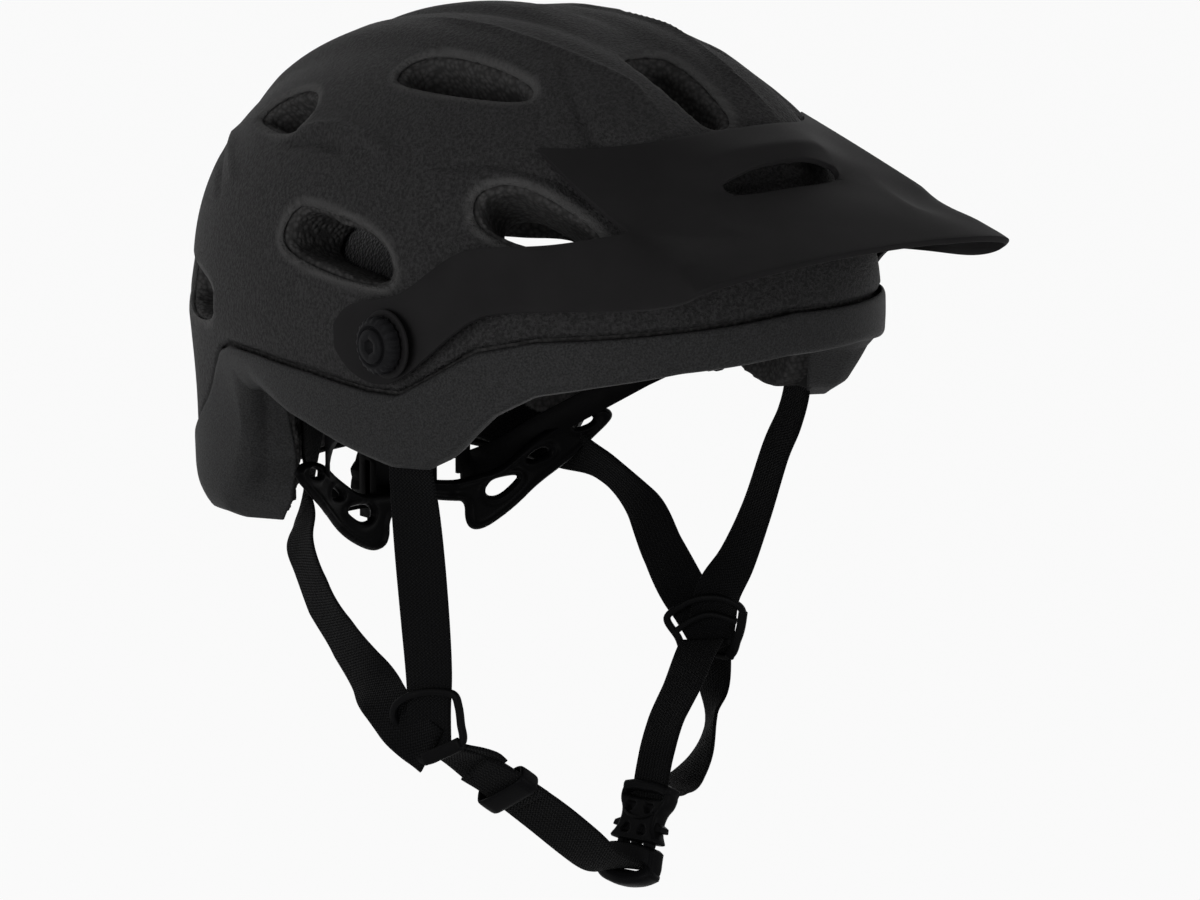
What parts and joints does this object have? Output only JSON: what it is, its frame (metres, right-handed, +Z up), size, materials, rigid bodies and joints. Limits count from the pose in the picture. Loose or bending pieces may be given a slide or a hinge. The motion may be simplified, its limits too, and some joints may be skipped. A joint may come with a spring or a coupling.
{
  "type": "cycling helmet",
  "caption": "Open-face cycling helmet with foam liner, two-part vented shell, tilting visor, strap harness with side-release buckle, and a dial-adjusted rear cradle.",
  "frame": {"origin": "on the centre plane at ear level, where the middle of the wearer's head lies", "axes": "+Z up, -Y towards the visor, -X the wearer's right"},
  "size_m": [0.2266, 0.3143, 0.315],
  "materials": {
    "shell_gloss": "satin black shell",
    "shell_matte": "matt black shell",
    "foam": "expanded foam, black",
    "visor": "satin black moulding",
    "screw": "matt moulding",
    "insert": "plain moulding",
    "web": "ribbed webbing",
    "divider": "satin moulding",
    "buckle": "satin moulding",
    "fit": "flexible moulding",
    "dial": "soft grip",
    "pad": "brushed knit over foam"
  },
  "bodies": {
    "helmet": {"upper_shell": "shell_gloss", "lower_shell": "shell_matte", "foam_liner": "foam", "visor_insert_right": "insert", "visor_insert_left": "insert", "front_strap_right": "web", "front_strap_left": "web", "rear_strap_right": "web", "rear_strap_left": "web", "chin_loop_outer_left": "web", "chin_loop_inner_left": "web", "chin_strap": "web", "strap_divider_right": "divider", "strap_divider_left": "divider", "buckle_socket": "buckle", "buckle_plug": "buckle", "front_anchor_right": "insert", "front_anchor_left": "insert", "rear_anchor_right": "insert", "rear_anchor_left": "insert", "fit_pin_right": "fit", "fit_pin_left": "fit", "fit_guide": "fit", "brow_pad": "pad", "crown_pad_front": "pad", "crown_pad_rear": "pad", "side_pad_right": "pad", "side_pad_left": "pad"},
    "visor_body": {"visor": "visor"},
    "screw_right": {"visor_screw_right": "screw"},
    "screw_left": {"visor_screw_left": "screw"},
    "cradle": {"fit_cradle": "fit"},
    "arm_right": {"fit_arm_right": "fit"},
    "arm_left": {"fit_arm_left": "fit"},
    "dial": {"fit_dial": "dial"},
    "keeper": {"strap_keeper": "divider"},
    "prong_rear": {"buckle_prong_rear": "buckle"},
    "prong_front": {"buckle_prong_front": "buckle"}
  },
  "joints": [
    {"name": "visor_tilt", "type": "hinge", "parent": "helmet", "child": "visor_body", "pos_m": [0, -0.0484, 0.0503], "axis": [-1, 0, 0], "range_deg": [-8, 0]},
    {"name": "screw_right_turn", "type": "hinge", "parent": "helmet", "child": "screw_right", "pos_m": [-0.1068, -0.0484, 0.0503], "axis": [-1, 0, 0], "continuous": true},
    {"name": "screw_left_turn", "type": "hinge", "parent": "helmet", "child": "screw_left", "pos_m": [0.1068, -0.0484, 0.0503], "axis": [1, 0, 0], "continuous": true},
    {"name": "cradle_height", "type": "hinge", "parent": "helmet", "child": "cradle", "pos_m": [0, -0.006, 0.016], "axis": [1, 0, 0], "range_deg": [-3, 2]},
    {"name": "dial_turn", "type": "hinge", "parent": "cradle", "child": "dial", "pos_m": [0, 0.0854, -0.036], "axis": [0, -1, 0], "range_deg": [0, 100]},
    {"name": "arm_right_slide", "type": "slide", "parent": "cradle", "child": "arm_right", "axis": [1, 0, 0], "range_m": [0, 0.006]},
    {"name": "arm_left_slide", "type": "slide", "parent": "cradle", "child": "arm_left", "axis": [-1, 0, 0], "range_m": [0, 0.006]},
    {"name": "keeper_slide", "type": "slide", "parent": "helmet", "child": "keeper", "axis": [0.758, -0.1724, -0.629], "range_m": [-0.003, 0.006]},
    {"name": "prong_rear_press", "type": "hinge", "parent": "helmet", "child": "prong_rear", "pos_m": [0.01226, -0.03425, -0.15382], "axis": [0.8904, 0, -0.4553], "range_deg": [0, 8], "stiffness_Nm_per_rad": 0.25},
    {"name": "prong_front_press", "type": "hinge", "parent": "helmet", "child": "prong_front", "pos_m": [0.01292, -0.04697, -0.15251], "axis": [-0.8904, 0, 0.4553], "range_deg": [0, 8], "stiffness_Nm_per_rad": 0.25}
  ],
  "couplings": [
    {"joint": "arm_right_slide", "follows": "dial_turn", "m_per_rad": 0.0034},
    {"joint": "arm_left_slide", "follows": "dial_turn", "m_per_rad": 0.0034}
  ]
}
